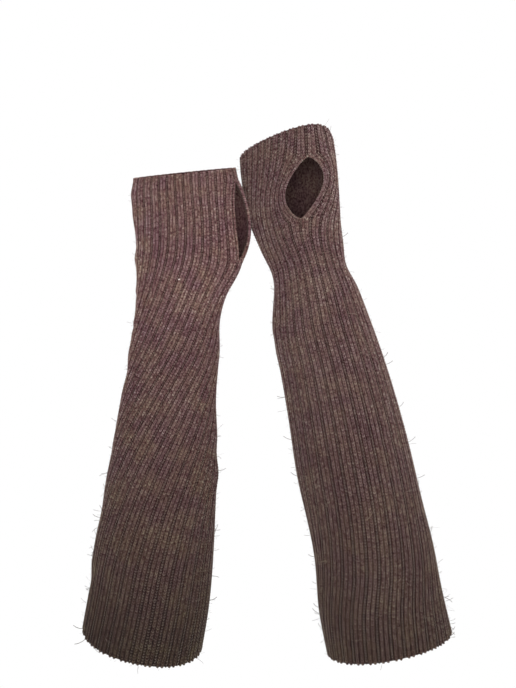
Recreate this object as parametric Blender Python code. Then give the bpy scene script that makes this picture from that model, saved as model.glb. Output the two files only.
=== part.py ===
"""A pair of long fingerless mittens as they are worn: two ribbed knitted tubes with thumb holes.

Metres, +Z up towards the fingers, -Y towards the viewer. The origin is the middle of the left
wrist, where that mitten is held. Each tube is one wall: a plain inside, ribs raised outside,
open at the hem, at the fingers and at the thumb.
"""
import math
from collections import namedtuple

import bpy
import numpy as np

MM = 0.001

# The knitted wall
RIB_COUNT = 30
RIB_HEIGHT = 1.0
GROUND_THICKNESS = 1.3
RIB_PROFILE = (0.0, 1.0, 1.0, 0.0)
INSIDE_COLUMNS = 30
SECTION_SAMPLES = 720
# A section is an ellipse where it is round, and its corners fill out as it gets flatter
ELLIPSE_POWER = 2.0
FLAT_POWER_GAIN = 0.6

# Rows of points along a tube
ARM_STEPS = 12
SLIT_STEPS = 7
BAND_STEPS = 2

# Knit pulled round the thumb: how far round it gives, how far round the lip stands out, and
# how blunt the slit's two ends are (less than 1 is blunter than a sine)
SLIT_PULL = 3
LIP_REACH = 0.06
SLIT_BLUNTNESS = 0.7

# One section of a tube, in mm and degrees. height, across and back place its middle;
# half_width is what shows from the front, and half_depth is its own half thickness.
# turn swings its broad side round the arm, tilt lifts its +X side and tip its front.
# wind is the thumb line's place round the tube, in turns from +X towards the back.
Section = namedtuple(
    "Section", "height across back half_width half_depth turn tilt tip wind")

LEFT_SECTIONS = (
    Section(-247.5, -27.0, 0.0, 47.0, 37.0, 0.0, -13.0, -1.0, -0.388),
    Section(-219.2, -22.2, 0.0, 46.7, 37.0, 0.0, -9.0, 0.0, -0.383),
    Section(-173.6, -17.5, 0.0, 45.7, 36.0, 0.0, -6.5, 0.0, -0.365),
    Section(-134.6, -13.0, 0.0, 42.8, 34.0, 0.0, -6.0, 0.0, -0.335),
    Section(-95.2, -9.0, 0.0, 40.0, 31.0, 0.0, -5.0, 0.0, -0.280),
    Section(-60.5, -6.6, 0.0, 36.4, 27.5, 0.0, -5.5, 0.0, -0.210),
    Section(-24.6, -2.3, 0.0, 34.4, 24.5, 0.0, -7.0, 0.0, -0.135),
    Section(0.0, -0.5, 0.0, 33.4, 22.5, -2.0, -8.5, -1.0, -0.090),
    Section(21.7, 3.0, -1.0, 35.2, 21.5, -4.0, -9.0, -2.0, -0.062),
    Section(43.1, 8.4, -4.0, 41.2, 21.0, -7.0, -6.0, -4.0, -0.052),
    Section(71.0, 10.2, -7.0, 43.7, 19.5, -8.0, -1.0, -7.0, -0.050),
    Section(93.2, 8.0, -10.0, 42.0, 17.5, -8.0, 3.0, -11.0, -0.050),
    Section(103.5, 6.8, -12.0, 40.4, 16.5, -8.0, 5.5, -17.0, -0.050),
    Section(108.8, 6.4, -13.0, 39.6, 15.5, -8.0, 6.2, -21.0, -0.050),
)

RIGHT_SECTIONS = (
    Section(-240.5, 159.2, -20.0, 46.6, 38.0, 0.0, 12.2, 11.0, -0.330),
    Section(-210.3, 152.9, -19.0, 46.0, 37.5, 0.0, 11.5, 7.0, -0.315),
    Section(-176.4, 148.0, -18.0, 44.6, 37.0, 0.0, 11.5, 4.0, -0.290),
    Section(-139.6, 140.4, -17.0, 43.2, 36.0, -2.0, 12.5, 3.0, -0.272),
    Section(-103.2, 132.6, -16.0, 42.7, 34.5, -5.0, 13.0, 3.0, -0.266),
    Section(-65.2, 124.6, -14.0, 40.7, 32.5, -9.0, 13.5, 3.0, -0.264),
    Section(-32.4, 116.7, -12.5, 38.4, 30.0, -14.0, 14.0, 2.0, -0.263),
    Section(-5.5, 109.0, -12.0, 36.3, 28.0, -20.0, 14.0, 1.0, -0.262),
    Section(12.9, 105.3, -13.0, 32.8, 26.0, -26.0, 14.0, 0.0, -0.262),
    Section(38.4, 99.6, -15.0, 27.8, 23.0, -33.0, 13.0, 0.0, -0.262),
    Section(57.9, 94.1, -15.0, 29.9, 22.0, -38.0, 11.0, 0.0, -0.260),
    Section(80.9, 88.1, -15.0, 33.5, 21.0, -40.0, 9.0, 0.0, -0.236),
    Section(103.1, 84.6, -15.0, 34.9, 21.0, -40.0, 7.0, 0.0, -0.214),
    Section(129.3, 82.0, -15.0, 34.3, 20.0, -40.0, 5.0, 4.0, -0.202),
)

# A mitten: its sections, the heights between which its thumb slit lies, the slit's half
# opening, how far the lip stands out beside it, and the knit's mean colour.
Mitten = namedtuple("Mitten", "name sections slit_foot slit_head half_gap lip colour")

LEFT_MITTEN = Mitten(
    "left_mitten", LEFT_SECTIONS, 46.0, 100.5, 9.5, 3.5, (0.105, 0.068, 0.060))
RIGHT_MITTEN = Mitten(
    "right_mitten", RIGHT_SECTIONS, 67.5, 109.0, 14.5, 2.0, (0.100, 0.066, 0.058))

KNIT_ROUGHNESS = 0.95
# Edges that turn by more than this, in degrees, are shaded sharp
SHARP_ANGLE = 40.0


def clear_scene():
    """Remove every object that is in the scene."""
    for item in list(bpy.data.objects):
        bpy.data.objects.remove(item, do_unlink=True)


def section_at(mitten, height):
    """Return the mitten's section at a height, on smooth curves through its table."""
    table = np.array(mitten.sections)
    heights = table[:, 0]
    span = int(np.clip(np.searchsorted(heights, height) - 1, 0, len(heights) - 2))
    slopes = np.gradient(table, heights, axis=0)
    step = heights[span + 1] - heights[span]
    part = (height - heights[span]) / step
    rise = part * part * (3.0 - 2.0 * part)
    leave = part * (1.0 - part) ** 2 * step
    arrive = -part * part * (1.0 - part) * step
    values = (table[span] * (1.0 - rise) + table[span + 1] * rise
              + slopes[span] * leave + slopes[span + 1] * arrive)
    return Section(*values)


def section_power(section):
    """Return the power of the section's outline: 2 is an ellipse, and more is squarer."""
    return ELLIPSE_POWER + FLAT_POWER_GAIN * (1.0 - section.half_depth / section.half_width)


def half_breadth(section):
    """Return the section's own half breadth, so that turned it shows its half_width."""
    power = section_power(section)
    dual = power / (power - 1.0)
    swing = math.radians(abs(section.turn))
    edge_on = section.half_depth * math.sin(swing)
    return (section.half_width ** dual - edge_on ** dual) ** (1.0 / dual) / math.cos(swing)


def section_outline(section):
    """Return lengths round the section, and its points with their outward directions."""
    breadth = half_breadth(section)
    depth = section.half_depth
    angles = np.linspace(0.0, 2.0 * math.pi, SECTION_SAMPLES + 1)
    cosines, sines = np.cos(angles), np.sin(angles)
    bend = 2.0 / section_power(section)
    x = breadth * np.sign(cosines) * np.abs(cosines) ** bend
    y = depth * np.sign(sines) * np.abs(sines) ** bend
    lengths = np.concatenate(([0.0], np.cumsum(np.hypot(np.diff(x), np.diff(y)))))
    out_x = np.sign(cosines) * np.abs(cosines) ** (2.0 - bend) / breadth
    out_y = np.sign(sines) * np.abs(sines) ** (2.0 - bend) / depth
    size = np.hypot(out_x, out_y)
    return lengths, np.stack((x, y, out_x / size, out_y / size), axis=1)


def slit_opening(mitten, height, girth):
    """Return how far the slit is open at a height, each side, as a share of the girth."""
    part = (height - mitten.slit_foot) / (mitten.slit_head - mitten.slit_foot)
    if part <= 0.0 or part >= 1.0:
        return 0.0
    return mitten.half_gap / girth * math.sin(math.pi * part) ** SLIT_BLUNTNESS


def row_points(mitten, height, columns, sink):
    """Return one row of points round the tube, its first column repeated at the end.

    sink is how far each point lies inside the ribs' crowns, in mm. Beside the open slit the
    first and the last point are its two lips.
    """
    section = section_at(mitten, height)
    lengths, outline = section_outline(section)
    girth = lengths[-1]
    opening = slit_opening(mitten, height, girth)
    turns = np.arange(columns + 1) / columns
    side = np.where(turns < 0.5, 1.0, -1.0)
    away = np.where(turns < 0.5, turns, 1.0 - turns)
    pulled = away + opening * (1.0 - 2.0 * away) ** SLIT_PULL
    place = (side * pulled + section.wind - section.turn / 360.0) % 1.0
    x, y, out_x, out_y = (
        np.interp(place * girth, lengths, outline[:, axis]) for axis in range(4))
    share = opening * girth / mitten.half_gap
    lift = mitten.lip * share * np.exp(-(away / LIP_REACH) ** 2) - sink
    x = x + out_x * lift
    y = y + out_y * lift

    swing = math.radians(section.turn)
    tilt = math.radians(section.tilt)
    tip = math.radians(section.tip)
    across = x * math.cos(swing) - y * math.sin(swing)
    deep = x * math.sin(swing) + y * math.cos(swing)
    return np.stack((
        section.across + across * math.cos(tilt) + deep * math.sin(tip) * math.sin(tilt),
        section.back + deep * math.cos(tip),
        section.height + across * math.sin(tilt) - deep * math.sin(tip) * math.cos(tilt),
    ), axis=1)


def row_heights(mitten):
    """Return the heights of the rows: along the arm, past the slit and through the band."""
    hem = mitten.sections[0].height
    top = mitten.sections[-1].height
    arm = np.linspace(hem, mitten.slit_foot, ARM_STEPS + 1)
    slit = np.linspace(mitten.slit_foot, mitten.slit_head, SLIT_STEPS + 1)
    band = np.linspace(mitten.slit_head, top, BAND_STEPS + 1)
    return np.concatenate((arm, slit[1:], band[1:]))


class Wall:
    """Collects one tube's points and faces, with its outside and its inside as two grids."""

    def __init__(self, mitten):
        """Start an empty wall for a mitten."""
        self.mitten = mitten
        self.heights = row_heights(mitten)
        self.last_row = len(self.heights) - 1
        self.points = []
        self.faces = []

    def in_slit(self, row):
        """Tell whether a row lies between the slit's two ends."""
        return ARM_STEPS < row < ARM_STEPS + SLIT_STEPS

    def grid(self, columns, sink):
        """Add a grid of points and return its indices, row by row, closed round the tube."""
        rows = []
        for row, height in enumerate(self.heights):
            ring = row_points(self.mitten, height, columns, sink)
            first = len(self.points)
            indices = list(range(first, first + columns + 1))
            if not self.in_slit(row):
                ring = ring[:-1]
                indices[-1] = first
            self.points.extend((ring * MM).tolist())
            rows.append(indices)
        return rows

    def skin(self, rows, outward):
        """Cover a grid with four-sided faces."""
        for low, high in zip(rows, rows[1:]):
            for column in range(len(low) - 1):
                face = [low[column], low[column + 1], high[column + 1], high[column]]
                self.faces.append(face if outward else face[::-1])

    def rim(self, outer, inner, upward):
        """Join the outside's end row to the inside's, which has fewer points."""
        ratio = (len(outer) - 1) // (len(inner) - 1)
        for segment in range(len(inner) - 1):
            start = segment * ratio
            middle = start + ratio // 2
            end = start + ratio
            here, there = inner[segment], inner[segment + 1]
            fan = [(here, outer[at], outer[at + 1]) for at in range(start, middle)]
            fan.append((here, outer[middle], there))
            fan += [(there, outer[at], outer[at + 1]) for at in range(middle, end)]
            self.faces.extend(list(face if upward else face[::-1]) for face in fan)

    def lips(self, outer, inner):
        """Close the wall's thickness along both sides of the slit."""
        for row in range(ARM_STEPS, ARM_STEPS + SLIT_STEPS):
            low_out, high_out = outer[row], outer[row + 1]
            low_in, high_in = inner[row], inner[row + 1]
            self.faces.append([low_out[0], high_out[0], high_in[0], low_in[0]])
            self.faces.append([low_out[-1], low_in[-1], high_in[-1], high_out[-1]])


def knit_material(mitten):
    """Return the plain knit material of a mitten."""
    material = bpy.data.materials.new(mitten.name + "_knit")
    material.use_nodes = True
    shader = material.node_tree.nodes["Principled BSDF"]
    shader.inputs["Base Color"].default_value = (*mitten.colour, 1.0)
    shader.inputs["Roughness"].default_value = KNIT_ROUGHNESS
    shader.inputs["Metallic"].default_value = 0.0
    return material


def build_mitten(mitten, collection):
    """Loft one mitten's wall and return its object."""
    profile = np.tile(RIB_PROFILE, RIB_COUNT)
    ribs = np.append(profile, profile[0])
    wall = Wall(mitten)
    outer = wall.grid(len(profile), RIB_HEIGHT * (1.0 - ribs))
    inner = wall.grid(INSIDE_COLUMNS, RIB_HEIGHT + GROUND_THICKNESS)
    wall.skin(outer, outward=True)
    wall.skin(inner, outward=False)
    wall.rim(outer[0], inner[0], upward=False)
    wall.rim(outer[-1], inner[-1], upward=True)
    wall.lips(outer, inner)

    mesh = bpy.data.meshes.new(mitten.name)
    mesh.from_pydata(wall.points, [], wall.faces)
    mesh.shade_smooth()
    mesh.set_sharp_from_angle(angle=math.radians(SHARP_ANGLE))
    mesh.materials.append(knit_material(mitten))
    tube = bpy.data.objects.new(mitten.name, mesh)
    collection.objects.link(tube)
    return tube


def main():
    """Build the pair."""
    clear_scene()
    collection = bpy.data.collections.new("fingerless_mittens")
    bpy.context.scene.collection.children.link(collection)
    for mitten in (LEFT_MITTEN, RIGHT_MITTEN):
        build_mitten(mitten, collection)


main()
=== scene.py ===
"""A worn pair of long ribbed fingerless mittens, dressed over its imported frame.

Each mitten is one closed shell of two-by-two rib on its solid's form, with raised knit
stitches on every rib, finished edges at the fingers, the hem and the thumb, and loose fibres.
"""
import logging
import math
from dataclasses import dataclass, field
from enum import Enum
from typing import Any, NamedTuple

import bpy
import numpy as np
from bpy.types import ID, Material, Node, NodeSocket, NodeTree, Object
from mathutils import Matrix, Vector


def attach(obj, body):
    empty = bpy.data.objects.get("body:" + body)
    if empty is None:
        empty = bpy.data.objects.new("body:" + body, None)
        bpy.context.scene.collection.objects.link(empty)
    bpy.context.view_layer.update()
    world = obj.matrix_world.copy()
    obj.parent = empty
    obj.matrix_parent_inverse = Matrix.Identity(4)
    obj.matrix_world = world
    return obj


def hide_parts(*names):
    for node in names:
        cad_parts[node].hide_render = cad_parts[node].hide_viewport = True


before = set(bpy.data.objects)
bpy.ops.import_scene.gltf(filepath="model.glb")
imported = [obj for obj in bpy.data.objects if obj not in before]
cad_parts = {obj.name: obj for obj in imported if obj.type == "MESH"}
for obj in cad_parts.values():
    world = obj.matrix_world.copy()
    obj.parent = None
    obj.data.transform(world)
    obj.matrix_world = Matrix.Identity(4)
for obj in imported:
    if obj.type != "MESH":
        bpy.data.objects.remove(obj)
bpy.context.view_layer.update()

LOG = logging.getLogger("mittens")
Colour = tuple[float, float, float, float]
Triple = tuple[float, float, float]
Array = np.ndarray
MM = 0.001
BODY = "root"

RIBS = 30
WALES_PER_RIB = 3
INSIDE_COLUMNS_PER_RIB = 3
# A course's height, how far the crowns lie inside the solid's, and a rib's depth, in mm
COURSE = 1.9
CROWN_SINK = 0.15
RIB_DEPTH = 1.0
# Phases of a rib, in ribs: its two knit wales, and the purl wale in the valley between ribs
KNIT_PHASES = (0.19, 0.56)
PURL_PHASE = 0.875
# A rib this wide, in mm, shows its purl wale this high, as a share of the rib's depth
PURL_STRETCH = (5.6, 8.2)
PURL_HEIGHTS = (0.06, 0.50)
# The height of the cloth between a rib's two knit wales, as a share of the rib's depth
BRIDGE_HEIGHT = 0.40
# Half a knit wale and half a purl wale as they stand rounded, in ribs
KNIT_HALF = 0.185
PURL_HALF = 0.105
# The shell's columns, as phases of a rib: each wale's crown and each groove has its own
COLUMN_PHASES = (0.0, 0.03, 0.07, 0.12, KNIT_PHASES[0], 0.26, 0.32, 0.375, 0.43, 0.49,
                 KNIT_PHASES[1], 0.63, 0.68, 0.72, 0.75, 0.80, PURL_PHASE, 0.95)
# The inside's depth, the height of its own shallow ribs, and the wall's middle, in mm
INSIDE_SINK = 2.3
INSIDE_RIB = 0.2
WALL_MIDDLE = (CROWN_SINK + INSIDE_SINK) / 2.0
# The rims' radius, in mm, and their rows' places round it
RIM_RADIUS = 0.9
RIM_ANGLES = (0.5, 1.0, 1.57, 2.1, 2.6)
# How light the shell's crowns, the purl stitches and the fibres are, against the knit
# stitches' 1, and how light the inside and the rims are, against the shell's crowns: painted
# shade, in the gaps between the stitches, down in the purl valleys, inside and round the rims;
# the fibres' lower value is their own darker tone
SHELL_SHADE = 0.42
PURL_SHADE = 0.28
FIBRE_SHADE = 0.60
INSIDE_SHADE = 0.50
RIM_SHADE = 0.60
MIDDLE_TONE = 0.5
# A section's power: an ellipse where it is round, with fuller corners as it gets flatter
ELLIPSE_POWER = 2.0
FLAT_POWER_GAIN = 0.6
# The ridge over a fold's trough: its height against the trough's, its place in widths
RIDGE_SHARE = 0.55
RIDGE_PLACE = 1.6
# The parts of a noise's range that are spread out
NOISE_SPAN = (0.35, 0.65)
SPECKLE_SPAN = (0.3, 0.7)


class Section(NamedTuple):
    """One section of a tube, in mm and degrees; wind is in turns, as in the solid."""

    height: float
    across: float
    back: float
    half_width: float
    half_depth: float
    turn: float
    tilt: float
    tip: float
    wind: float


class Fold(NamedTuple):
    """A soft trough with a low ridge above it, or the reverse where depth is negative.

    place is its middle round the tube in turns: 0 is +X, a quarter is the back, three
    quarters faces the viewer. reach is its half length, slope its rise, both in mm.
    """

    place: float
    height: float
    reach: float
    slope: float
    width: float
    depth: float


LEFT_SECTIONS = tuple(Section(*row) for row in (
    (-247.5, -27.0, 0.0, 47.0, 37.0, 0.0, -13.0, -1.0, -0.388),
    (-219.2, -22.2, 0.0, 46.7, 37.0, 0.0, -9.0, 0.0, -0.383),
    (-173.6, -17.5, 0.0, 45.7, 36.0, 0.0, -6.5, 0.0, -0.365),
    (-134.6, -13.0, 0.0, 42.8, 34.0, 0.0, -6.0, 0.0, -0.335),
    (-95.2, -9.0, 0.0, 40.0, 31.0, 0.0, -5.0, 0.0, -0.280),
    (-60.5, -6.6, 0.0, 36.4, 27.5, 0.0, -5.5, 0.0, -0.210),
    (-24.6, -2.3, 0.0, 34.4, 24.5, 0.0, -7.0, 0.0, -0.135),
    (0.0, -0.5, 0.0, 33.4, 22.5, -2.0, -8.5, -1.0, -0.090),
    (21.7, 3.0, -1.0, 35.2, 21.5, -4.0, -9.0, -2.0, -0.062),
    (43.1, 8.4, -4.0, 41.2, 21.0, -7.0, -6.0, -4.0, -0.052),
    (71.0, 10.2, -7.0, 43.7, 19.5, -8.0, -1.0, -7.0, -0.050),
    (93.2, 8.0, -10.0, 42.0, 17.5, -8.0, 3.0, -11.0, -0.050),
    (103.5, 6.8, -12.0, 40.4, 16.5, -8.0, 5.5, -17.0, -0.050),
    (108.8, 6.4, -13.0, 39.6, 15.5, -8.0, 6.2, -21.0, -0.050),
))

RIGHT_SECTIONS = tuple(Section(*row) for row in (
    (-240.5, 159.2, -20.0, 46.6, 38.0, 0.0, 12.2, 11.0, -0.330),
    (-210.3, 152.9, -19.0, 46.0, 37.5, 0.0, 11.5, 7.0, -0.315),
    (-176.4, 148.0, -18.0, 44.6, 37.0, 0.0, 11.5, 4.0, -0.290),
    (-139.6, 140.4, -17.0, 43.2, 36.0, -2.0, 12.5, 3.0, -0.272),
    (-103.2, 132.6, -16.0, 42.7, 34.5, -5.0, 13.0, 3.0, -0.266),
    (-65.2, 124.6, -14.0, 40.7, 32.5, -9.0, 13.5, 3.0, -0.264),
    (-32.4, 116.7, -12.5, 38.4, 30.0, -14.0, 14.0, 2.0, -0.263),
    (-5.5, 109.0, -12.0, 36.3, 28.0, -20.0, 14.0, 1.0, -0.262),
    (12.9, 105.3, -13.0, 32.8, 26.0, -26.0, 14.0, 0.0, -0.262),
    (38.4, 99.6, -15.0, 27.8, 23.0, -33.0, 13.0, 0.0, -0.262),
    (57.9, 94.1, -15.0, 29.9, 22.0, -38.0, 11.0, 0.0, -0.271),
    (80.9, 88.1, -15.0, 33.5, 21.0, -40.0, 9.0, 0.0, -0.248),
    (103.1, 84.6, -15.0, 34.9, 21.0, -40.0, 7.0, 0.0, -0.214),
    (129.3, 82.0, -15.0, 34.3, 20.0, -40.0, 5.0, 4.0, -0.202),
))

LEFT_FOLDS = tuple(Fold(*row) for row in (
    (0.91, -5.0, 6.0, 0.15, 1.6, 0.7),
    (0.87, 6.0, 9.0, 0.20, 2.2, 0.4),
    (0.70, 62.0, 14.0, 0.50, 3.5, 0.35),
    (0.80, 72.0, 12.0, -0.40, 3.5, 0.4),
    (0.66, 50.0, 12.0, 0.30, 4.0, 0.3),
    (0.80, -70.0, 20.0, 0.20, 5.0, 0.35),
    (0.62, -110.0, 18.0, -0.15, 5.0, 0.35),
    (0.90, -150.0, 15.0, 0.20, 5.0, 0.3),
    (0.55, 12.0, 8.0, 0.10, 2.5, 0.5),
    (0.53, -12.0, 9.0, -0.10, 2.5, 0.45),
    (0.25, -3.0, 16.0, 0.05, 2.2, 0.8),
    (0.22, 9.0, 12.0, 0.12, 2.4, 0.6),
    (0.30, -16.0, 12.0, -0.08, 2.6, 0.6),
    (0.35, 62.0, 12.0, 0.50, 3.5, 0.5),
    (0.15, 80.0, 10.0, -0.40, 3.0, 0.4),
    (0.28, -90.0, 20.0, 0.10, 6.0, 0.4),
    (0.20, -180.0, 18.0, -0.10, 6.0, 0.35),
    (0.50, 96.0, 14.0, 0.0, 7.0, -0.9),
    (0.50, 60.0, 12.0, 0.0, 12.0, 0.9),
    (0.50, 41.0, 10.0, 0.0, 6.0, -0.9),
    (0.50, 1.0, 10.0, 0.0, 9.0, 0.7),
    (0.50, -46.0, 12.0, 0.0, 9.0, 1.1),
    (0.50, -153.0, 14.0, 0.0, 14.0, 0.9),
    (0.50, -206.0, 12.0, 0.0, 8.0, 1.1),
    (0.99, -16.0, 12.0, 0.0, 16.0, -0.7),
    (0.00, -118.0, 12.0, 0.0, 10.0, -1.4),
))

RIGHT_FOLDS = tuple(Fold(*row) for row in (
    (0.68, 20.7, 6.0, 0.10, 1.8, 0.6),
    (0.60, 5.0, 9.0, 0.20, 2.5, 0.45),
    (0.85, -15.0, 10.0, 0.15, 3.0, 0.4),
    (0.76, 40.0, 8.0, -0.20, 2.5, 0.3),
    (0.72, -60.0, 18.0, 0.15, 5.0, 0.35),
    (0.88, -95.0, 16.0, -0.20, 5.0, 0.35),
    (0.66, -150.0, 20.0, 0.10, 6.0, 0.35),
    (0.96, 30.0, 9.0, 0.10, 2.6, 0.4),
    (0.40, 14.0, 14.0, 0.06, 2.4, 0.7),
    (0.36, 0.0, 12.0, -0.10, 2.6, 0.6),
    (0.20, 26.0, 12.0, 0.15, 2.6, 0.6),
    (0.30, 85.0, 12.0, 0.40, 3.5, 0.5),
    (0.22, 60.0, 10.0, -0.40, 3.5, 0.4),
    (0.30, -80.0, 20.0, 0.12, 6.0, 0.4),
    (0.18, -170.0, 18.0, -0.12, 6.0, 0.35),
    (0.54, 92.0, 14.0, 0.0, 9.0, -1.2),
    (0.53, 30.0, 12.0, 0.0, 16.0, 1.1),
    (0.52, -9.0, 9.0, 0.0, 8.0, 0.7),
    (0.50, -165.0, 16.0, 0.0, 30.0, 1.1),
    (0.04, 30.0, 10.0, 0.0, 10.0, 1.1),
    (0.03, 131.0, 16.0, 0.0, 6.0, 2.6),
))


def rib_turns(phases: tuple[float, ...]) -> Array:
    """Return the places of some phases of every rib, in turns from the thumb line."""
    return ((np.arange(RIBS)[:, None] + np.array(phases)[None, :]) / RIBS).ravel()


def unit(ways: Array) -> Array:
    """Return directions of length one, from vectors along the last axis."""
    return ways / np.linalg.norm(ways, axis=-1, keepdims=True)


@dataclass
class Nodes:
    """A shader or geometry node tree that is being written."""

    tree: NodeTree

    def add(self, kind: str, inputs: dict[Any, Any] | None = None, **settings: Any) -> Node:
        """Add a node, set its properties, and feed its inputs.

        Args:
            kind: The node's Blender type.
            inputs: Values or sockets to join, by input name or number.
            settings: The node's own properties.

        Returns:
            The new node.
        """
        node = self.tree.nodes.new(kind)
        for name, value in settings.items():
            setattr(node, name, value)
        self.feed(node, inputs or {})
        return node

    def feed(self, node: Node, inputs: dict[Any, Any]) -> None:
        """Feed a node's inputs, by name or number, with values or with sockets to join."""
        for key, value in inputs.items():
            if isinstance(value, NodeSocket):
                self.tree.links.new(value, node.inputs[key])
            else:
                node.inputs[key].default_value = value

    def maths(self, operation: str, first: Any, second: Any = 0.0) -> NodeSocket:
        """Add a Math node and return its result."""
        node = self.add("ShaderNodeMath", {0: first, 1: second}, operation=operation)
        return node.outputs[0]

    def spread(self, value: Any, low: float, high: float, to_low: float,
               to_high: float) -> NodeSocket:
        """Add a clamped Map Range from low..high to to_low..to_high; return its result."""
        inputs = {"Value": value, "From Min": low, "From Max": high,
                  "To Min": to_low, "To Max": to_high}
        return self.add("ShaderNodeMapRange", inputs).outputs["Result"]

    def mix(self, blend: str, factor: Any, first: Any, second: Any) -> NodeSocket:
        """Add a colour Mix node, where factor is the second one's share; return its result."""
        inputs = {"Factor": factor, 6: first, 7: second}
        return self.add("ShaderNodeMix", inputs, data_type="RGBA", blend_type=blend).outputs[2]


@dataclass(frozen=True)
class KnitFinish:
    """The heathered wool-blend knit, mottled mauve and brown, with painted shade that makes it
    darker and browner towards the hem.

    The painted shade's tint towards the hem comes in from the height high_end down to low_end,
    both in metres. red_power and blue_power, under 1, make the darks redder and the lights
    greyer. The relief attribute mixes in the groove colour, as painted shade in the grooves.
    """

    cool: Colour = (0.206, 0.112, 0.125, 1.0)
    warm: Colour = (0.204, 0.124, 0.102, 1.0)
    hem_shade_tint: Colour = (0.225, 0.235, 0.165, 1.0)
    low_end: float = -0.24
    high_end: float = 0.02
    mottle_scale: float = 70.0
    cloud_scale: float = 28.0
    cloud_spread: float = 0.11
    speckle_scale: float = 650.0
    speckle_spread: float = 0.86
    red_power: float = 0.66
    blue_power: float = 0.92
    groove_shade_colour: Colour = (0.165, 0.095, 0.095, 1.0)
    groove_shade_fade: float = 0.08
    tone_spread: float = 0.60
    sheen: float = 0.45
    sheen_roughness: float = 0.30
    sheen_tint: Colour = (0.86, 0.72, 0.58, 1.0)
    roughness: float = 0.92
    specular: float = 0.2
    bump: float = 0.6
    bump_height: float = 0.0004

    def material(self, name: str) -> Material:
        """Build the knit's material.

        Args:
            name: The material's name.

        Returns:
            The material, which reads the attributes tone and relief.
        """
        material = bpy.data.materials.new(name)
        material.use_nodes = True
        nodes = Nodes(material.node_tree)
        shader = material.node_tree.nodes["Principled BSDF"]
        place = nodes.add("ShaderNodeTexCoord").outputs["Object"]
        tone = nodes.add("ShaderNodeAttribute", attribute_name="tone").outputs["Fac"]
        relief = nodes.add("ShaderNodeAttribute", attribute_name="relief").outputs["Fac"]

        mottle = nodes.add("ShaderNodeTexNoise", {
            "Vector": place, "Scale": self.mottle_scale, "Detail": 3.0})
        warmth = nodes.spread(mottle.outputs["Fac"], *NOISE_SPAN, 0.0, 1.0)
        colour = nodes.mix("MIX", warmth, self.cool, self.warm)
        # Painted shade: the colour is darkened and turned browner towards the hem, from high_end
        # down to low_end
        height = nodes.add("ShaderNodeSeparateXYZ", {"Vector": place}).outputs["Z"]
        low = nodes.spread(height, self.high_end, self.low_end, 0.0, 1.0)
        colour = nodes.mix("MULTIPLY", low, colour, self.hem_shade_tint)

        speckle = nodes.add("ShaderNodeTexNoise", {
            "Vector": place, "Scale": self.speckle_scale, "Detail": 2.0})
        grain = nodes.spread(speckle.outputs["Fac"], *SPECKLE_SPAN,
                             1.0 - self.speckle_spread, 1.0 + self.speckle_spread)
        tones = nodes.spread(tone, 0.0, 1.0, 1.0 - self.tone_spread, 1.0 + self.tone_spread)
        cloud = nodes.add("ShaderNodeTexNoise", {
            "Vector": place, "Scale": self.cloud_scale, "Detail": 2.0})
        clouds = nodes.spread(cloud.outputs["Fac"], *NOISE_SPAN,
                              1.0 - self.cloud_spread, 1.0 + self.cloud_spread)
        shade = nodes.maths("MULTIPLY", nodes.maths("MULTIPLY", grain, tones), clouds)
        grey = nodes.add("ShaderNodeCombineXYZ", {
            "X": nodes.maths("POWER", shade, self.red_power), "Y": shade,
            "Z": nodes.maths("POWER", shade, self.blue_power)})
        colour = nodes.mix("MULTIPLY", 1.0, colour, grey.outputs["Vector"])
        # Painted shade: the relief attribute mixes in the groove colour, darkening the grooves,
        # the gaps between stitches, the purl valleys, the inside and the rims, fading in patches
        # with the mottle; the fibres' own darker tone comes through it too
        fade = nodes.spread(mottle.outputs["Fac"], *NOISE_SPAN, -self.groove_shade_fade,
                            self.groove_shade_fade)
        raised = nodes.spread(nodes.maths("ADD", relief, fade), 0.0, 1.0, 0.0, 1.0)
        depth = nodes.mix("MIX", raised, self.groove_shade_colour, (1.0, 1.0, 1.0, 1.0))
        colour = nodes.mix("MULTIPLY", 1.0, colour, depth)

        bump = nodes.add("ShaderNodeBump", {
            "Height": speckle.outputs["Fac"], "Strength": self.bump,
            "Distance": self.bump_height})
        nodes.feed(shader, {
            "Base Color": colour, "Normal": bump.outputs["Normal"],
            "Roughness": self.roughness, "Specular IOR Level": self.specular,
            "Sheen Weight": self.sheen, "Sheen Roughness": self.sheen_roughness,
            "Sheen Tint": self.sheen_tint})
        return material


@dataclass(frozen=True)
class PlainFinish:
    """A plain matt finish, for the stage and for the fleck of lint."""

    colour: Colour
    glow: float = 0.0
    roughness: float = 0.95

    def material(self, name: str) -> Material:
        """Build the material, with a faint clouding so that no surface is one flat colour.

        Args:
            name: The material's name.

        Returns:
            The material.
        """
        material = bpy.data.materials.new(name)
        material.use_nodes = True
        nodes = Nodes(material.node_tree)
        shader = material.node_tree.nodes["Principled BSDF"]
        place = nodes.add("ShaderNodeTexCoord").outputs["Object"]
        cloud = nodes.add("ShaderNodeTexNoise", {"Vector": place, "Scale": 30.0})
        paler = tuple(min(1.0, part * 1.04) for part in self.colour)
        colour = nodes.mix("MIX", cloud.outputs["Fac"], self.colour, paler)
        nodes.feed(shader, {
            "Base Color": colour, "Roughness": self.roughness,
            "Emission Color": self.colour, "Emission Strength": self.glow})
        return material


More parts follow.
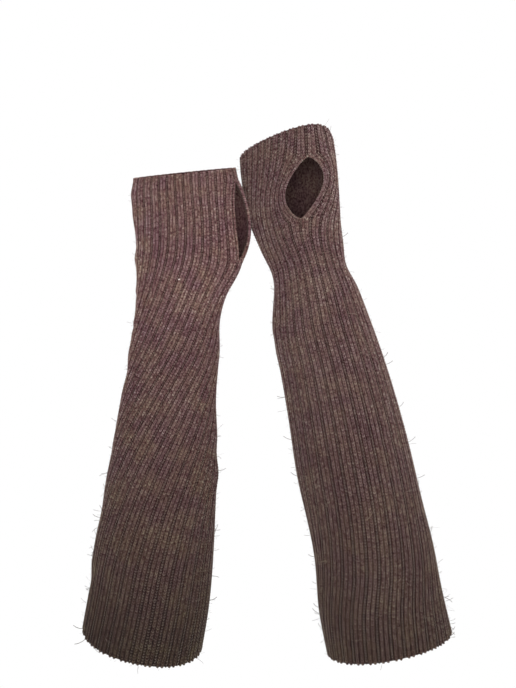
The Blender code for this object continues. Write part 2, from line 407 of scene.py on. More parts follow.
@dataclass
class TubeForm:
    """The form of one tube: where the knit lies on the arm and round the thumb.

    slit_foot and slit_head are the thumb hole's ends, half_gap is half its width, and lip is
    how far its lips stand out, all in mm. lip_reach and bow_start, in turns, and bow, a share
    of the hole's length, say how far off the ribs still bend round it.
    """

    sections: tuple[Section, ...]
    folds: tuple[Fold, ...]
    slit_foot: float
    slit_head: float
    half_gap: float
    lip: float
    lip_reach: float = 0.06
    slit_pull: int = 3
    slit_bluntness: float = 0.7
    bow: float = 0.62
    bow_start: float = 0.05
    samples: int = 720

    def section_at(self, height: float) -> Section:
        """Read the section at a height, on smooth curves through the table.

        Args:
            height: The height, in mm.

        Returns:
            The section there.
        """
        table = np.array(self.sections)
        heights = table[:, 0]
        span = int(np.clip(np.searchsorted(heights, height) - 1, 0, len(heights) - 2))
        slopes = np.gradient(table, heights, axis=0)
        step = heights[span + 1] - heights[span]
        part = (height - heights[span]) / step
        rise = part * part * (3.0 - 2.0 * part)
        leave = part * (1.0 - part) ** 2 * step
        arrive = -part * part * (1.0 - part) * step
        return Section(*(table[span] * (1.0 - rise) + table[span + 1] * rise
                         + slopes[span] * leave + slopes[span + 1] * arrive))

    def outline(self, section: Section) -> tuple[Array, Array]:
        """Work out the line round a section, before it is turned and tilted.

        Args:
            section: The section.

        Returns:
            Lengths along the line, and a row of x, y and the way out's x, y for each.
        """
        flatness = 1.0 - section.half_depth / section.half_width
        power = ELLIPSE_POWER + FLAT_POWER_GAIN * flatness
        dual = power / (power - 1.0)
        swing = math.radians(abs(section.turn))
        edge_on = section.half_depth * math.sin(swing)
        breadth = ((section.half_width ** dual - edge_on ** dual) ** (1.0 / dual)
                   / math.cos(swing))
        depth = section.half_depth
        angles = np.linspace(0.0, 2.0 * math.pi, self.samples + 1)
        cosines, sines = np.cos(angles), np.sin(angles)
        bend = 2.0 / power
        x = breadth * np.sign(cosines) * np.abs(cosines) ** bend
        y = depth * np.sign(sines) * np.abs(sines) ** bend
        lengths = np.concatenate(([0.0], np.cumsum(np.hypot(np.diff(x), np.diff(y)))))
        out_x = np.sign(cosines) * np.abs(cosines) ** (2.0 - bend) / breadth
        out_y = np.sign(sines) * np.abs(sines) ** (2.0 - bend) / depth
        size = np.hypot(out_x, out_y)
        return lengths, np.stack((x, y, out_x / size, out_y / size), axis=1)

    def purl_height(self, height: float) -> float:
        """Return how far the purl wales come up at a height, by how the knit is stretched."""
        rib = self.outline(self.section_at(height))[0][-1] / RIBS
        return float(np.interp(rib, PURL_STRETCH, PURL_HEIGHTS))

    def opening(self, height: float, girth: float) -> float:
        """Return how far the slit is open at a height, each side, as a share of the girth."""
        part = (height - self.slit_foot) / (self.slit_head - self.slit_foot)
        if part <= 0.0 or part >= 1.0:
            return 0.0
        return self.half_gap / girth * math.sin(math.pi * part) ** self.slit_bluntness

    def spread(self, height: float, girth: float) -> float:
        """Return how far ribs are pushed aside round the slit, also past its two ends."""
        middle = (self.slit_foot + self.slit_head) / 2.0
        reach = self.bow * (self.slit_head - self.slit_foot)
        return self.half_gap / girth * math.exp(-((height - middle) / reach) ** 2)

    def fold_depth(self, place: Array, height: float, girth: float) -> Array:
        """Work out how deep the folds press the wall in round one height.

        Args:
            place: Places round the section, in turns.
            height: The height, in mm.
            girth: The length round the section there, in mm.

        Returns:
            The depth at each place, in mm.
        """
        depth = np.zeros_like(place)
        for fold in self.folds:
            along = ((place - fold.place + 0.5) % 1.0 - 0.5) * girth
            rise = (height - fold.height - fold.slope * along) / fold.width
            shape = np.exp(-rise ** 2) - RIDGE_SHARE * np.exp(-(rise - RIDGE_PLACE) ** 2)
            depth += fold.depth * shape * np.exp(-(along / fold.reach) ** 4)
        return depth

    def ring(self, height: float, turns: Array, sink: Any) -> Array:
        """Return points round the tube at one height.

        Args:
            height: The height of the section, in mm.
            turns: Places in turns from the thumb line; 0 and 1 are the slit's two lips.
            sink: How far each point lies inside the ribs' crowns, in mm.

        Returns:
            One point a row, in metres.
        """
        section = self.section_at(height)
        lengths, outline = self.outline(section)
        girth = lengths[-1]
        opening = self.opening(height, girth)
        side = np.where(turns < 0.5, 1.0, -1.0)
        away = np.where(turns < 0.5, turns, 1.0 - turns)
        beside = np.exp(-(away / self.bow_start) ** 2)
        pushed = opening * beside + self.spread(height, girth) * (1.0 - beside)
        pulled = away + pushed * (1.0 - 2.0 * away) ** self.slit_pull
        place = (side * pulled + section.wind - section.turn / 360.0) % 1.0
        x, y, out_x, out_y = (
            np.interp(place * girth, lengths, outline[:, axis]) for axis in range(4))
        share = opening * girth / self.half_gap
        lift = self.lip * share * np.exp(-(away / self.lip_reach) ** 2) - sink
        lift = lift - self.fold_depth(place, height, girth)
        x = x + out_x * lift
        y = y + out_y * lift

        swing, tilt, tip = (
            math.radians(angle) for angle in (section.turn, section.tilt, section.tip))
        across = x * math.cos(swing) - y * math.sin(swing)
        deep = x * math.sin(swing) + y * math.cos(swing)
        return MM * np.stack((
            section.across + across * math.cos(tilt) + deep * math.sin(tip) * math.sin(tilt),
            section.back + deep * math.cos(tip),
            section.height + across * math.sin(tilt) - deep * math.sin(tip) * math.cos(tilt),
        ), axis=1)

    def grid(self, heights: Array, turns: Array, sink: Any) -> Array:
        """Return points at every height and turn, rows by columns; sink may differ by row."""
        sinks = np.broadcast_to(sink, heights.shape)
        return np.stack([self.ring(h, turns, depth) for h, depth in zip(heights, sinks)])

    def frames(self, heights: Array, turns: Array, sink: Any
               ) -> tuple[Array, Array, Array]:
        """Return a grid of points on the surface with the ways round and along it.

        Args:
            heights: The grid's rows, in mm.
            turns: The grid's columns, in turns from the thumb line.
            sink: How deep the points lie, in mm, the same all over or one a row.

        Returns:
            Points, outward directions and directions along the wales, each rows by columns.
        """
        nudge_turn, nudge_height = 0.002, 0.5
        points = self.grid(heights, turns, sink)
        after = self.grid(heights, np.clip(turns + nudge_turn, 0.0, 1.0), sink)
        above = self.grid(heights + nudge_height, turns, sink)
        along = unit(above - points)
        return points, unit(np.cross(after - points, along)), along

    def front_turn(self, height: float, across: float) -> float:
        """Find the turn of the viewer's side that lies nearest to an X.

        Args:
            height: The height, in mm.
            across: The X, in mm.

        Returns:
            The place, in turns from the thumb line.
        """
        turns = np.linspace(0.0, 1.0, self.samples)
        points = self.ring(height, turns, 0.0) / MM
        hidden = points[:, 1] > self.section_at(height).back
        return float(turns[np.argmin(np.abs(points[:, 0] - across) + 1000.0 * hidden)])


def rib_relief(phase: Array, purl_height: float) -> Array:
    """Work out a rib's relief, rounded over each of its wales.

    Args:
        phase: Places across a rib, from 0 to 1.
        purl_height: How high its purl wale comes up, as a share of the rib's depth.

    Returns:
        The height at each place, 0 in a groove to 1 on a knit wale.
    """
    lobes = np.zeros_like(phase)
    wales = ((KNIT_PHASES[0], KNIT_HALF, 1.0), (KNIT_PHASES[1], KNIT_HALF, 1.0),
             (PURL_PHASE, PURL_HALF, purl_height))
    for centre, half, height in wales:
        away = (phase - centre + 0.5) % 1.0 - 0.5
        lobe = height * np.sqrt(np.maximum(0.0, 1.0 - (away / half) ** 2))
        lobes = np.maximum(lobes, lobe)
    between = (phase > KNIT_PHASES[0]) & (phase < KNIT_PHASES[1])
    return np.where(between, np.maximum(lobes, BRIDGE_HEIGHT), lobes)


def put(name: str, data: ID) -> Object:
    """Add an object with this data to the scene, at the origin, and return it."""
    made = bpy.data.objects.new(name, data)
    bpy.context.scene.collection.objects.link(made)
    return made


def piece(name: str, points: Array, faces: list[list[int]],
          material: Material) -> Object:
    """Make a mesh object at the origin.

    Args:
        name: The object's name.
        points: One point a row, in metres.
        faces: The points of each face, which faces outwards.
        material: The object's material.

    Returns:
        The object, in the scene.
    """
    mesh = bpy.data.meshes.new(name)
    mesh.from_pydata(points.tolist(), [], faces)
    mesh.validate()
    mesh.shade_smooth()
    mesh.materials.append(material)
    return put(name, mesh)


def store(made: Object, name: str, values: Array) -> None:
    """Store one number or one vector a point on a mesh object."""
    kind, key = ("FLOAT", "value") if values.ndim == 1 else ("FLOAT_VECTOR", "vector")
    attribute = made.data.attributes.new(name, kind, "POINT")
    attribute.data.foreach_set(key, values.astype(np.float32).ravel())


def settle(made: Object) -> None:
    """Fix a piece to its body, and log how many triangles it has."""
    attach(made, BODY)
    made.data.calc_loop_triangles()
    LOG.info("%s: %d triangles", made.name, len(made.data.loop_triangles))


class Sprig(Enum):
    """What a scatter puts at each of its points."""

    STITCH = "knit stitch of two slanting legs"
    BAR = "purl stitch that lies across its wale"
    LOOP = "single loop over an edge"
    FIBRE = "bent loose fibre"


@dataclass
class Scatter:
    """Puts one small shape at each of many points, by Geometry Nodes, as one plain mesh."""

    kind: Sprig
    seed: int = 3
    leg_place: float = 0.15
    lean: float = 0.26
    leg_length: float = 0.61
    leg_width: float = 0.10
    fibre_radius: float = 0.028

    def leg(self, nodes: Nodes, sign: float) -> NodeSocket:
        """Add one slanting leg, a slim eight-sided grain, and return its geometry."""
        grain = nodes.add("GeometryNodeMeshUVSphere",
                          {"Segments": 4, "Rings": 2, "Radius": 1.0})
        inputs = {"Geometry": grain.outputs["Mesh"],
                  "Translation": (sign * self.leg_place, 0.0, 0.0),
                  "Rotation": (math.pi / 2.0, 0.0, -sign * self.lean),
                  "Scale": (self.leg_width, 1.0, self.leg_length)}
        return nodes.add("GeometryNodeTransform", inputs).outputs["Geometry"]

    def shape(self, nodes: Nodes) -> NodeSocket:
        """Add the shape that is repeated.

        Args:
            nodes: The tree that is being written.

        Returns:
            The shape's geometry.
        """
        if self.kind is Sprig.STITCH:
            join = nodes.add("GeometryNodeJoinGeometry")
            for sign in (1.0, -1.0):
                nodes.tree.links.new(self.leg(nodes, sign), join.inputs[0])
            return join.outputs[0]
        if self.kind in (Sprig.LOOP, Sprig.BAR):
            segments, rings = (5, 3) if self.kind is Sprig.LOOP else (4, 2)
            grain = nodes.add("GeometryNodeMeshUVSphere",
                              {"Segments": segments, "Rings": rings, "Radius": 0.5})
            return grain.outputs["Mesh"]
        bow = nodes.add("GeometryNodeCurveQuadraticBezier", {
            "Resolution": 2, "Start": (0.0, 0.0, -0.1), "Middle": (0.0, 0.05, 0.55),
            "End": (0.0, 0.45, 0.95)})
        ring = nodes.add("GeometryNodeCurvePrimitiveCircle", {
            "Resolution": 3, "Radius": self.fibre_radius})
        strand = nodes.add("GeometryNodeCurveToMesh", {
            "Curve": bow.outputs[0], "Profile Curve": ring.outputs[0], "Fill Caps": True})
        return strand.outputs[0]

    def tree(self) -> tuple[NodeTree, dict[str, str]]:
        """Build the node tree.

        Returns:
            The tree, and its inputs' identifiers by name.
        """
        tree = bpy.data.node_groups.new("scatter " + self.kind.value, "GeometryNodeTree")
        names = {}
        tree.interface.new_socket("Geometry", in_out="OUTPUT", socket_type="NodeSocketGeometry")
        for name, kind in (("Geometry", "Geometry"), ("Shade", "Float"),
                           ("Seed", "Int"), ("Knit", "Material")):
            socket = tree.interface.new_socket(
                name, in_out="INPUT", socket_type="NodeSocket" + kind)
            names[name] = socket.identifier
        nodes = Nodes(tree)
        given = nodes.add("NodeGroupInput")
        made = nodes.add("NodeGroupOutput")

        def stored(name: str) -> NodeSocket:
            """Read a vector that the points carry."""
            node = nodes.add("GeometryNodeInputNamedAttribute", {"Name": name},
                             data_type="FLOAT_VECTOR")
            return node.outputs[0]

        spin = nodes.add("FunctionNodeAxesToRotation", {
            "Primary Axis": stored("facing"), "Secondary Axis": stored("along")},
            primary_axis="Z", secondary_axis="Y")
        placed = nodes.add("GeometryNodeInstanceOnPoints", {
            "Points": given.outputs["Geometry"], "Instance": self.shape(nodes),
            "Rotation": spin.outputs[0], "Scale": stored("size")})
        chance = nodes.add("FunctionNodeRandomValue", {
            2: 0.0, 3: 1.0, "Seed": given.outputs["Seed"]}, data_type="FLOAT")
        toned = nodes.add("GeometryNodeStoreNamedAttribute", {
            "Geometry": placed.outputs[0], "Name": "tone", "Value": chance.outputs[1]},
            data_type="FLOAT", domain="INSTANCE")
        real = nodes.add("GeometryNodeRealizeInstances", {"Geometry": toned.outputs[0]})
        raised = nodes.add("GeometryNodeStoreNamedAttribute", {
            "Geometry": real.outputs[0], "Name": "relief", "Value": given.outputs["Shade"]},
            data_type="FLOAT", domain="POINT")
        smooth = nodes.add("GeometryNodeSetShadeSmooth", {"Geometry": raised.outputs[0]})
        dressed = nodes.add("GeometryNodeSetMaterial", {
            "Geometry": smooth.outputs[0], "Material": given.outputs["Knit"]})
        nodes.tree.links.new(dressed.outputs[0], made.inputs[0])
        return tree, names

    def build(self, name: str, points: Array, facing: Array, along: Array,
              size: Array, shade: float, material: Material
              ) -> Object:
        """Scatter the shape and return the result as a plain mesh object.

        Args:
            name: The new piece's name.
            points: Where each shape stands, in metres.
            facing: The way out of the cloth at each point.
            along: The way along the wale at each point.
            size: Width, length and height of each shape, in metres.
            shade: How light the shapes are: 1 on a crown, less down in the knit, as painted
                shade.
            material: The knit's material.

        Returns:
            The finished piece.
        """
        seeds = piece(name + "_points", points, [], material)
        store(seeds, "facing", facing)
        store(seeds, "along", along)
        store(seeds, "size", size)
        tree, names = self.tree()
        modifier = seeds.modifiers.new("scatter", "NODES")
        modifier.node_group = tree
        modifier[names["Shade"]] = shade
        modifier[names["Seed"]] = self.seed
        modifier[names["Knit"]] = material
        evaluated = seeds.evaluated_get(bpy.context.evaluated_depsgraph_get())
        mesh = bpy.data.meshes.new_from_object(evaluated)
        mesh.name = name
        made = put(name, mesh)
        seeds.modifiers.remove(modifier)
        bpy.data.objects.remove(seeds)
        return made


@dataclass
class Mitten:
    """One mitten: its shell, its stitches, its edges and its loose fibres.

    A stitch's size is its width in wales, length in courses and height in mm. Loops, fibres
    and wisps, which are the longest fibres, are in mm; flat is the cut, in metres, and is not
    used.
    """

    side: str
    form: TubeForm
    flat: tuple[float, float]
    finish: KnitFinish
    arm_rows: int = 94
    slit_rows: int = 26
    band_rows: int = 6
    knit_stitch: Triple = (1.15, 1.0, 0.40)
    purl_stitch: Triple = (0.60, 0.96, 0.55)
    hem_loop: Triple = (2.3, 2.4, 1.7)
    top_loop: Triple = (2.2, 2.3, 0.9)
    lip_loop: Triple = (1.1, 1.8, 2.5)
    lip_pace: float = 1.5
    fibre_rows: int = 90
    fibre_count: int = 4300
    fibre_gamma: tuple[float, float] = (2.2, 0.60)
    fibre_lengths: tuple[float, float] = (0.6, 3.6)
    fibre_width: float = 1.25
    wisp_share: float = 0.006
    low_wisp_share: float = 0.24
    wisp_lengths: tuple[float, float] = (2.5, 7.5)
    seed: int = 11
    material: Material = field(init=False)

    def __post_init__(self) -> None:
        """Make the mitten's material."""
        self.material = self.finish.material(self.side + "_knit")

    def heights(self) -> Array:
        """Space the shell's rows, closer together at the slit's two ends.

        Returns:
            Their heights between the rims, in mm.
        """
        form = self.form
        hem = form.sections[0].height + RIM_RADIUS
        top = form.sections[-1].height - RIM_RADIUS
        arm = np.linspace(hem, form.slit_foot, self.arm_rows + 1)
        swing = np.linspace(0.0, math.pi, self.slit_rows + 1)
        slit = form.slit_foot + (form.slit_head - form.slit_foot) * (1.0 - np.cos(swing)) / 2.0
        band = np.linspace(form.slit_head, top, self.band_rows + 1)
        return np.concatenate((arm, slit[1:], band[1:]))

    def shell(self) -> Object:
        """Build the ribbed wall, closed at its rims and along the slit's lips.

        Returns:
            The finished piece.
        """
        columns = RIBS * len(COLUMN_PHASES)
        inside_columns = RIBS * INSIDE_COLUMNS_PER_RIB
        turns = np.append(rib_turns(COLUMN_PHASES), 1.0)
        inside = np.arange(inside_columns + 1) / inside_columns
        phases = turns * RIBS % 1.0
        inside_sink = INSIDE_SINK + INSIDE_RIB * np.cos(2.0 * math.pi * RIBS * inside)
        points: list[Array] = []
        shades: list[Array] = []
        faces: list[list[int]] = []
        count = 0

        def row(height: float, places: Array, sink: Array, shade: Array,
                cut: bool) -> list[int]:
            """Add a row of points and return its indices, closed unless the slit cuts it."""
            nonlocal count
            used = len(places) if cut else len(places) - 1
            points.append(self.form.ring(height, places, sink)[:used])
            shades.append(shade[:used])
            indices = list(range(count, count + used)) + ([] if cut else [count])
            count += used
            return indices

        heights = self.heights()
        reliefs = [rib_relief(phases, self.form.purl_height(h)) for h in heights]
        sinks = [CROWN_SINK + RIB_DEPTH * (1.0 - relief) for relief in reliefs]
        slit = range(self.arm_rows + 1, self.arm_rows + self.slit_rows)
        outer = [row(h, turns, sinks[n], reliefs[n], n in slit) for n, h in enumerate(heights)]
        inner = [row(h, inside, inside_sink, np.full_like(inside, INSIDE_SHADE), n in slit)
                 for n, h in enumerate(heights)]
        for rows, outward in ((outer, True), (inner, False)):
            for low, high in zip(rows, rows[1:]):
                for at in range(len(low) - 1):
                    face = [low[at], low[at + 1], high[at + 1], high[at]]
                    faces.append(face if outward else face[::-1])
        for n in range(self.arm_rows, self.arm_rows + self.slit_rows):
            faces.append([outer[n][0], outer[n + 1][0], inner[n + 1][0], inner[n][0]])
            faces.append([outer[n][-1], inner[n][-1], inner[n + 1][-1], outer[n + 1][-1]])

        ratio = columns // inside_columns
        for end, way in ((0, -1.0), (-1, 1.0)):
            last = outer[end]
            for angle in RIM_ANGLES:
                turn_in = math.cos(angle)
                if turn_in > 0.0:
                    sink = WALL_MIDDLE - (WALL_MIDDLE - sinks[end]) * turn_in
                else:
                    sink = np.full_like(
                        turns, WALL_MIDDLE - (INSIDE_SINK - WALL_MIDDLE) * turn_in)
                height = heights[end] + way * RIM_RADIUS * math.sin(angle)
                # Painted shade: the rims darken as they turn inwards
                shade = RIM_SHADE + (reliefs[end] - RIM_SHADE) * max(turn_in, 0.0)
                ring = row(height, turns, sink, shade, False)
                for at in range(columns):
                    face = [last[at], last[at + 1], ring[at + 1], ring[at]]
                    faces.append(face if way > 0.0 else face[::-1])
                last = ring
            for segment in range(inside_columns):
                start = segment * ratio
                half = start + ratio // 2
                here, there = inner[end][segment], inner[end][segment + 1]
                fan = [[here, last[at], last[at + 1]] for at in range(start, half)]
                fan.append([here, last[half], there])
                fan += [[there, last[at], last[at + 1]] for at in range(half, start + ratio)]
                faces.extend(face if way > 0.0 else face[::-1] for face in fan)
        made = piece(self.side + "_shell", np.concatenate(points), faces, self.material)
        # The relief attribute carries painted shade: the grooves, the gaps under the stitches,
        # the inside and the rims are darker
        store(made, "relief", SHELL_SHADE * np.concatenate(shades))
        store(made, "tone", np.full(count, MIDDLE_TONE))
        return made

    def wales(self, kind: Sprig, name: str, phases: tuple[float, ...],
              shape: Triple) -> Object:
        """Build the stitches of the wales at some phases of every rib.

        Args:
            kind: What each stitch is, a knit or a purl stitch.
            name: The piece's name after its side.
            phases: The wales' places in a rib, in ribs.
            shape: A stitch's width in wales, length in courses and height in mm.

        Returns:
            The finished piece.
        """
        form = self.form
        turns = rib_turns(phases)
        heights = np.arange(form.sections[0].height + 1.2, form.sections[-1].height - 1.0, COURSE)
        sink = np.full_like(heights, CROWN_SINK + 0.10)
        if kind is Sprig.BAR:
            risen = np.array([form.purl_height(height) for height in heights])
            sink = CROWN_SINK + RIB_DEPTH * (1.0 - risen)
        points, facing, along = form.frames(heights, turns, sink)
        nudge = 0.1 / RIBS
        beside, _, _ = form.frames(heights, turns + nudge, sink)
        wale = np.linalg.norm(beside - points, axis=2) / (WALES_PER_RIB * nudge * RIBS)
        shift = np.random.default_rng(self.seed).uniform(-0.5, 0.5, len(turns))
        points = points + along * (shift * COURSE * MM)[None, :, None]
        size = np.stack((wale * shape[0], np.full_like(wale, shape[1] * COURSE * MM),
                         np.full_like(wale, shape[2] * MM)), axis=2)
        # The purl stitches get painted shade, down in their valleys
        return Scatter(kind, seed=self.seed).build(
            self.side + name,
            *(part.reshape(-1, 3) for part in (points, facing, along, size)),
            PURL_SHADE if kind is Sprig.BAR else 1.0, self.material)

    def edge_loops(self) -> Object:
        """Build the loops of the cast-on and cast-off edges, one over each knit wale.

        Returns:
            The finished piece.
        """
        form = self.form
        turns = rib_turns(KNIT_PHASES)
        ends = []
        for section, way, loop in ((form.sections[0], -1.0, self.hem_loop),
                                   (form.sections[-1], 1.0, self.top_loop)):
            height = np.array([section.height - way * 0.15])
            at, out, up = form.frames(height, turns, WALL_MIDDLE - 0.25)
            sizes = np.tile(np.array(loop) * MM, (len(turns), 1))
            ends.append((at[0], up[0] * way, out[0], sizes))
        return Scatter(Sprig.LOOP, seed=self.seed + 1).build(
            self.side + "_edge_loops", *(np.concatenate(parts) for parts in zip(*ends)),
            1.0, self.material)

    def lip_path(self, sink: float) -> Array:
        """Follow the closed line round the thumb hole, smoothed at its two ends.

        Args:
            sink: The line's depth in the wall, in mm.

        Returns:
            One point a row, in metres.
        """
        form = self.form
        swing = np.linspace(0.0, math.pi, 60)
        span = form.slit_head - form.slit_foot
        heights = form.slit_foot + span * (1.0 - np.cos(swing)) / 2.0
        ends = np.array((0.0, 1.0))
        lips = np.stack([form.ring(h, ends, sink) for h in heights])
        path = np.concatenate((lips[:, 0], lips[-2:0:-1, 1]))
        for _ in range(3):
            path = (np.roll(path, 1, 0) + 2.0 * path + np.roll(path, -1, 0)) / 4.0
        return path

    def lip_frame(self) -> tuple[Array, Array]:
        """Return the line along the middle of the thumb hole's edge, and its ways out."""
        path = self.lip_path(WALL_MIDDLE)
        return path, unit(self.lip_path(0.0) - path)

    def thumb_edge(self) -> Object:
        """Build the selvedge round the thumb hole, a soft roll over the wall's two lips.

        Returns:
            The finished piece.
        """
        sides, half_width, half_height = 10, 0.60, 1.10
        path, out = self.lip_frame()
        ahead = unit(np.roll(path, -1, 0) - np.roll(path, 1, 0))
        across = unit(np.cross(ahead, out))
        angles = np.arange(sides) / sides * 2.0 * math.pi
        rings = (path[:, None, :]
                 + across[:, None, :] * (np.cos(angles) * half_width * MM)[None, :, None]
                 + out[:, None, :] * (np.sin(angles) * half_height * MM)[None, :, None])
        faces = []
        for n in range(len(path)):
            after = (n + 1) % len(path)
            for at in range(sides):
                beside = (at + 1) % sides
                faces.append([n * sides + at, after * sides + at,
                              after * sides + beside, n * sides + beside])
        made = piece(self.side + "_thumb_edge", rings.reshape(-1, 3), faces, self.material)
        # Painted shade on the roll under the edge stitches, as dark as the shell's crowns
        store(made, "relief", np.full(len(path) * sides, SHELL_SHADE))
        store(made, "tone", np.full(len(path) * sides, MIDDLE_TONE))
        return made

    def edge_stitches(self) -> Object:
        """Build the short stitches that lie across the selvedge round the thumb hole.

        Returns:
            The finished piece.
        """
        closed = [np.concatenate((line, line[:1])) for line in self.lip_frame()]
        steps = np.linalg.norm(np.diff(closed[0], axis=0), axis=1)
        lengths = np.concatenate(([0.0], np.cumsum(steps)))
        count = int(lengths[-1] / (self.lip_pace * MM))
        at = (np.arange(count) + 0.5) / count * lengths[-1]
        points, facing = (
            np.stack([np.interp(at, lengths, line[:, k]) for k in range(3)], axis=1)
            for line in closed)
        ahead = np.roll(points, -1, 0) - np.roll(points, 1, 0)
        along = unit(np.cross(facing, ahead))
        size = np.tile(np.array(self.lip_loop) * MM, (count, 1))
        return Scatter(Sprig.LOOP, seed=self.seed + 2).build(
            self.side + "_edge_stitches", points, facing, along, size, 1.0, self.material)

    def fibres(self) -> Object:
        """Build the halo of loose fibres, with wisps that gather towards the hem.

        Returns:
            The finished piece.
        """
        rng = np.random.default_rng(self.seed)
        form = self.form
        hem, top = form.sections[0].height, form.sections[-1].height
        heights = np.linspace(hem + 1.0, top - 1.0, self.fibre_rows)
        columns = self.fibre_count // self.fibre_rows
        found = []
        for height in heights:
            turns = rng.uniform(0.01, 0.99, columns)
            shifted = np.array([height + rng.uniform(-1.9, 1.9)])
            at, out, up = form.frames(shifted, turns, CROWN_SINK + 0.1)
            found.append(np.stack((at[0], out[0], up[0])))
        points, facing, along = np.concatenate(found, axis=1)
        lean = rng.normal(0.0, 1.0, points.shape)
        facing = unit(facing + 0.5 * lean)
        along = along + rng.normal(0.0, 1.5, points.shape)
        length = rng.gamma(*self.fibre_gamma, len(points)).clip(*self.fibre_lengths) * MM
        low = np.linspace(1.0, 0.0, self.fibre_rows).repeat(columns) ** 2
        wisps = rng.random(len(points)) < self.wisp_share + self.low_wisp_share * low
        length[wisps] = rng.uniform(*self.wisp_lengths, int(wisps.sum())) * MM
        slim = np.minimum(length, self.fibre_width * MM)
        size = np.stack((slim, length, length), axis=1)
        return Scatter(Sprig.FIBRE, seed=self.seed + 3).build(
            self.side + "_fibres", points, facing, along, size, FIBRE_SHADE, self.material)

    def build(self) -> Object:
        """Build every piece of the mitten, fix each to its body and hide the mitten's imported
        solid.

        Returns:
            The shell.
        """
        shell = self.shell()
        others = [
            self.wales(Sprig.STITCH, "_knit_stitches", KNIT_PHASES, self.knit_stitch),
            self.wales(Sprig.BAR, "_purl_stitches", (PURL_PHASE,), self.purl_stitch),
            self.edge_loops(), self.thumb_edge(), self.edge_stitches(), self.fibres()]
        for made in (shell, *others):
            settle(made)
        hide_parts(self.side + "_mitten")
        return shell


@dataclass
class Lint:
    """A fleck of pale lint that clings to a mitten's front."""

    height: float = 28.2
    across: float = 4.3
    grains: int = 6
    finish: PlainFinish = PlainFinish(colour=(0.72, 0.66, 0.64, 1.0))

    def build(self, mitten: Mitten) -> Object:
        """Build the fleck on a mitten and fix it to the body.

        Args:
            mitten: The mitten that it clings to.

        Returns:
            The finished piece.
        """
        turn = mitten.form.front_turn(self.height, self.across)
        points, facing, along = mitten.form.frames(
            np.array([self.height]), np.array([turn]), 0.1)
        rng = np.random.default_rng(mitten.seed)
        spot = points[0] + rng.normal(0.0, 0.22, (self.grains, 3)) * MM
        out = facing[0] + rng.normal(0.0, 0.4, (self.grains, 3))
        way = along[0] + rng.normal(0.0, 1.5, (self.grains, 3))
        size = rng.uniform(0.5, 1.1, (self.grains, 3)) * MM
        made = Scatter(Sprig.LOOP, seed=mitten.seed + 4).build(
            mitten.side + "_lint", spot, out, way, size, 1.0,
            self.finish.material("pale_lint"))
        settle(made)
        return made


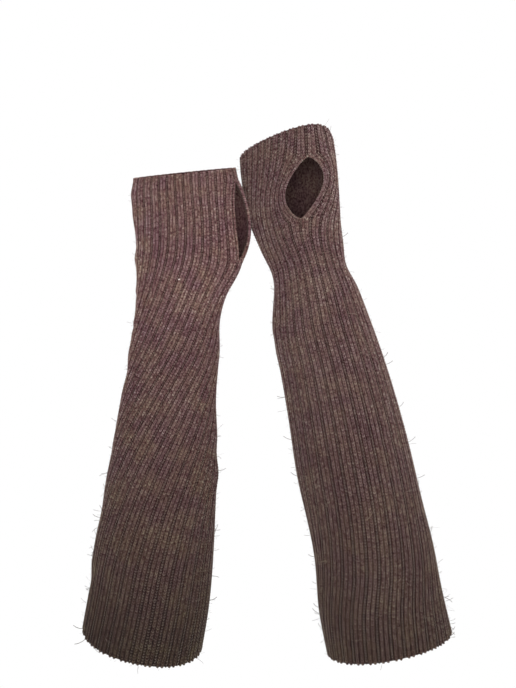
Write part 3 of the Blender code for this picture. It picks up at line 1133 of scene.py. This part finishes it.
@dataclass
class Studio:
    """The plain pale stage, its soft lights, and the camera at the photograph's angle."""

    eye: Triple = (0.0624, -0.4212, -0.0203)
    lens: float = 28.26
    floor_height: float = -0.33
    floor_radius: float = 3.0
    daylight: float = 0.42

    def floor(self) -> Object:
        """Build the round pale floor, the same from every side.

        Returns:
            The floor.
        """
        swing = np.linspace(0.0, 2.0 * math.pi, 96, endpoint=False)
        radii = self.floor_radius * np.array((0.15, 0.4, 0.7, 1.0))
        rings = [(r * math.cos(a), r * math.sin(a), self.floor_height)
                 for r in radii for a in swing]
        points = np.array([(0.0, 0.0, self.floor_height), *rings])
        count = len(swing)
        faces = [[0, 1 + n, 1 + (n + 1) % count] for n in range(count)]
        for ring in range(len(radii) - 1):
            inner, outer = 1 + ring * count, 1 + (ring + 1) * count
            faces += [[inner + n, outer + n, outer + (n + 1) % count, inner + (n + 1) % count]
                      for n in range(count)]
        return piece("pale_floor", points, faces, self.floor_material())

    def floor_material(self) -> Material:
        """Build the floor's material, which is seen as plain white under any lamp.

        Returns:
            The material.
        """
        finish = PlainFinish(colour=(0.86, 0.86, 0.86, 1.0), glow=0.8)
        material = finish.material("pale_floor")
        nodes = Nodes(material.node_tree)
        seen = nodes.add("ShaderNodeLightPath").outputs["Is Camera Ray"]
        lit = material.node_tree.nodes["Principled BSDF"].outputs["BSDF"]
        white = nodes.add("ShaderNodeEmission", {"Strength": 1.0}).outputs["Emission"]
        shown = nodes.add("ShaderNodeMixShader", {0: seen, 1: lit, 2: white})
        nodes.feed(material.node_tree.nodes["Material Output"],
                   {"Surface": shown.outputs["Shader"]})
        return material

    def world(self) -> None:
        """Make the pale daylight all round, which shows white behind the pair."""
        world = bpy.data.worlds.new("studio")
        world.use_nodes = True
        nodes = Nodes(world.node_tree)
        seen = nodes.add("ShaderNodeLightPath").outputs["Is Camera Ray"]
        strength = nodes.spread(seen, 0.0, 1.0, self.daylight, 1.0)
        nodes.feed(world.node_tree.nodes["Background"],
                   {"Color": (1.0, 1.0, 1.0, 1.0), "Strength": strength})
        bpy.context.scene.world = world

    def lamp(self, name: str, place: Triple, size: float, watts: float) -> None:
        """Add a soft square light that faces the middle of the pair.

        Args:
            name: The light's name.
            place: Where it stands, in metres.
            size: Its side, in metres.
            watts: Its power.
        """
        light = bpy.data.lights.new(name, "AREA")
        light.size = size
        light.energy = watts
        made = put(name, light)
        made.location = place
        target = Vector((self.eye[0], 0.0, 0.0))
        made.rotation_euler = (target - Vector(place)).to_track_quat("-Z", "Y").to_euler()

    def camera(self) -> None:
        """Add the camera, level, straight in front."""
        data = bpy.data.cameras.new("camera")
        data.lens = self.lens
        data.sensor_width = 36.0
        data.clip_start = 0.01
        made = put("camera", data)
        made.location = self.eye
        made.rotation_euler = (math.pi / 2.0, 0.0, 0.0)
        bpy.context.scene.camera = made

    def build(self) -> None:
        """Build the stage, the world, the lights and the camera."""
        self.floor()
        self.world()
        bpy.context.scene.view_settings.view_transform = "Standard"
        self.lamp("key", (0.06, -0.46, 0.03), 0.30, 2.1)
        self.lamp("fill", (0.46, -0.16, 0.16), 0.25, 0.9)
        self.lamp("behind", (0.1, 0.30, 0.95), 0.6, 3.6)
        self.lamp("back", (0.0, 0.75, 0.10), 0.5, 3.0)
        self.camera()


def main() -> None:
    """Build the pair and its stage."""
    logging.basicConfig(level=logging.INFO, format="%(name)s: %(message)s")
    left = Mitten(
        side="left",
        form=TubeForm(LEFT_SECTIONS, LEFT_FOLDS, slit_foot=46.0, slit_head=100.5,
                      half_gap=9.5, lip=3.5),
        flat=(0.200, 0.375),
        finish=KnitFinish())
    right = Mitten(
        side="right",
        form=TubeForm(RIGHT_SECTIONS, RIGHT_FOLDS, slit_foot=67.5, slit_head=109.0,
                      half_gap=14.5, lip=2.0),
        flat=(0.200, 0.390),
        # The right mitten is the same yarn as the left: its darker cool and warm are painted
        # shade, and its painted shade towards the hem is milder
        finish=KnitFinish(cool=(0.158, 0.091, 0.098, 1.0), warm=(0.156, 0.097, 0.082, 1.0),
                          hem_shade_tint=(0.40, 0.40, 0.32, 1.0)),
        seed=29)
    for mitten in (left, right):
        mitten.build()
    Lint().build(left)
    Studio().build()


if __name__ == "__main__":
    main()
